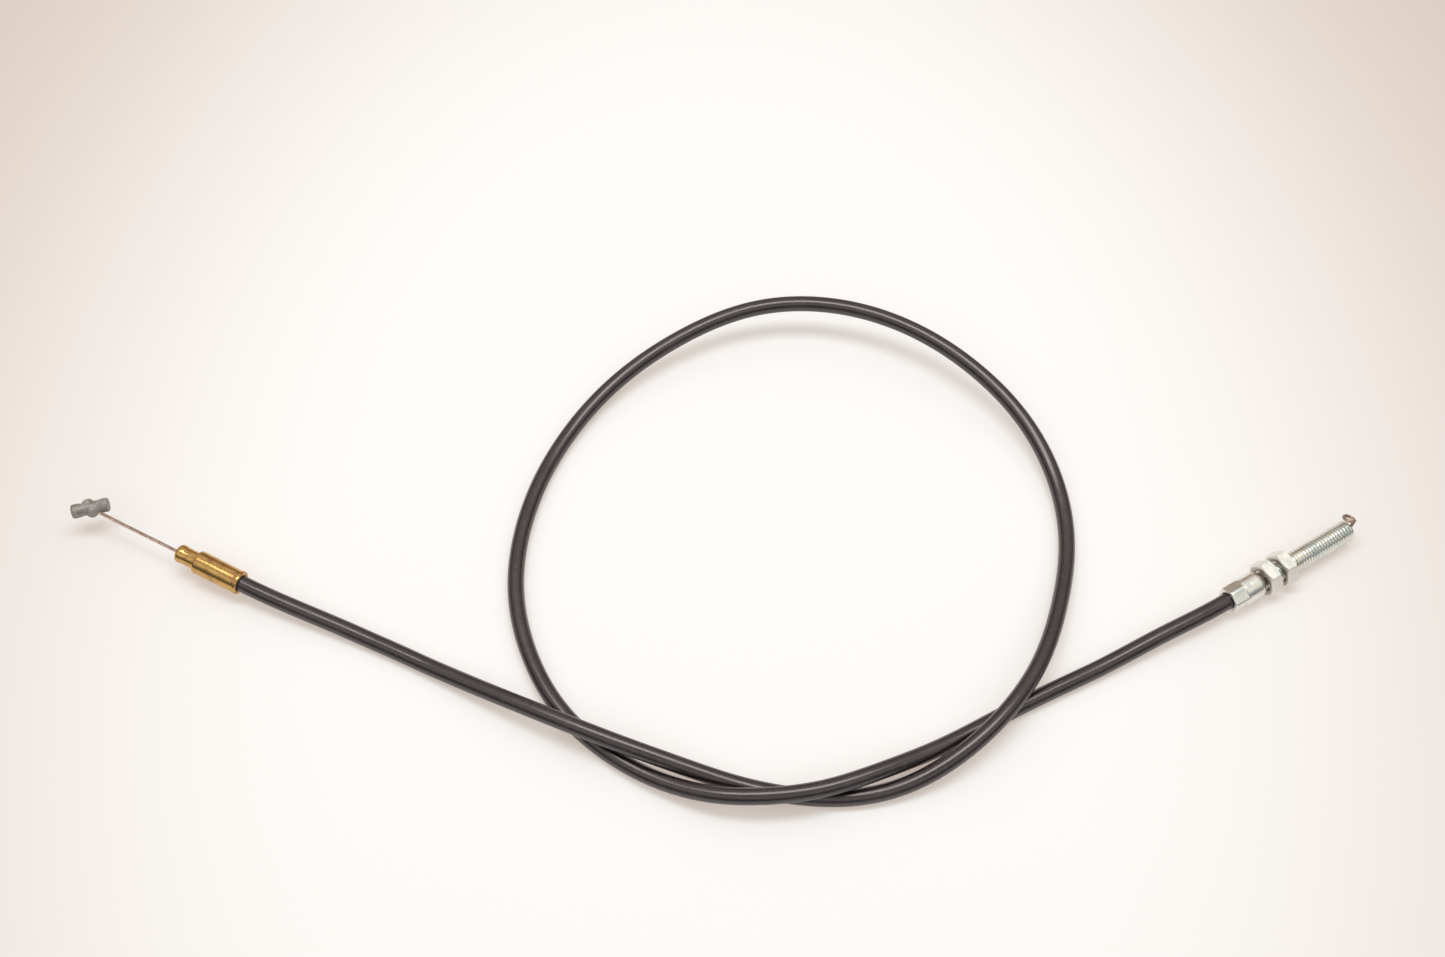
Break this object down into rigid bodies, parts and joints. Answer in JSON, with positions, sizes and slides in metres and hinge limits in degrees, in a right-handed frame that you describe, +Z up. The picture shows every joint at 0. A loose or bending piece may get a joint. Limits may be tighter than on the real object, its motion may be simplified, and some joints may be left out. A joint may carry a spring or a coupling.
{
  "type": "brake cable",
  "caption": "sheathed steel brake cable for a small garden machine, with a brass ferrule, a cast nipple, a threaded adjuster with lock nuts and a bent wire eye",
  "frame": {"origin": "bottom centre of the box around the ferrule, nipple, adjuster, nuts and wire ends, on the surface that the cable lies on", "axes": "+X from the nipple towards the threaded end, +Y across the knot towards its loop, +Z up"},
  "size_m": [0.4685, 0.2067, 0.0196],
  "materials": {
    "jacket_plastic": "satin black PVC",
    "conduit_steel": "plain drawn steel wire",
    "liner_plastic": "natural smooth plastic",
    "wire_steel": "stranded steel, slightly tarnished",
    "cast_zinc": "as cast, grey",
    "brass": "turned, lightly tarnished",
    "zinc_plate": "bright zinc plate"
  },
  "bodies": {
    "casing": {"casing_jacket": "jacket_plastic", "casing_conduit": "conduit_steel", "casing_liner": "liner_plastic", "inner_wire_run": "wire_steel", "ferrule": "brass", "adjuster": "zinc_plate"},
    "lever_end": {"nipple": "cast_zinc", "inner_wire_lever_end": "wire_steel"},
    "eye_end": {"inner_wire_eye_end": "wire_steel"},
    "nut_inner": {"lock_nut_inner": "zinc_plate"},
    "nut_outer": {"lock_nut_outer": "zinc_plate"}
  },
  "joints": [
    {"name": "lever_end_slide", "type": "slide", "parent": "casing", "child": "lever_end", "axis": [0.8947, -0.4403, -0.075], "range_m": [0, 0.03]},
    {"name": "eye_end_slide", "type": "slide", "parent": "casing", "child": "eye_end", "axis": [0.8545, 0.5195, 0], "range_m": [0, 0.03]},
    {"name": "nut_inner_travel", "type": "slide", "parent": "casing", "child": "nut_inner", "axis": [0.8545, 0.5195, 0], "range_m": [-0.0008, 0.013]},
    {"name": "nut_outer_travel", "type": "slide", "parent": "nut_inner", "child": "nut_outer", "axis": [0.8545, 0.5195, 0], "range_m": [-0.0008, 0.012]}
  ],
  "couplings": [
    {"joint": "eye_end_slide", "follows": "lever_end_slide", "ratio": 1}
  ]
}
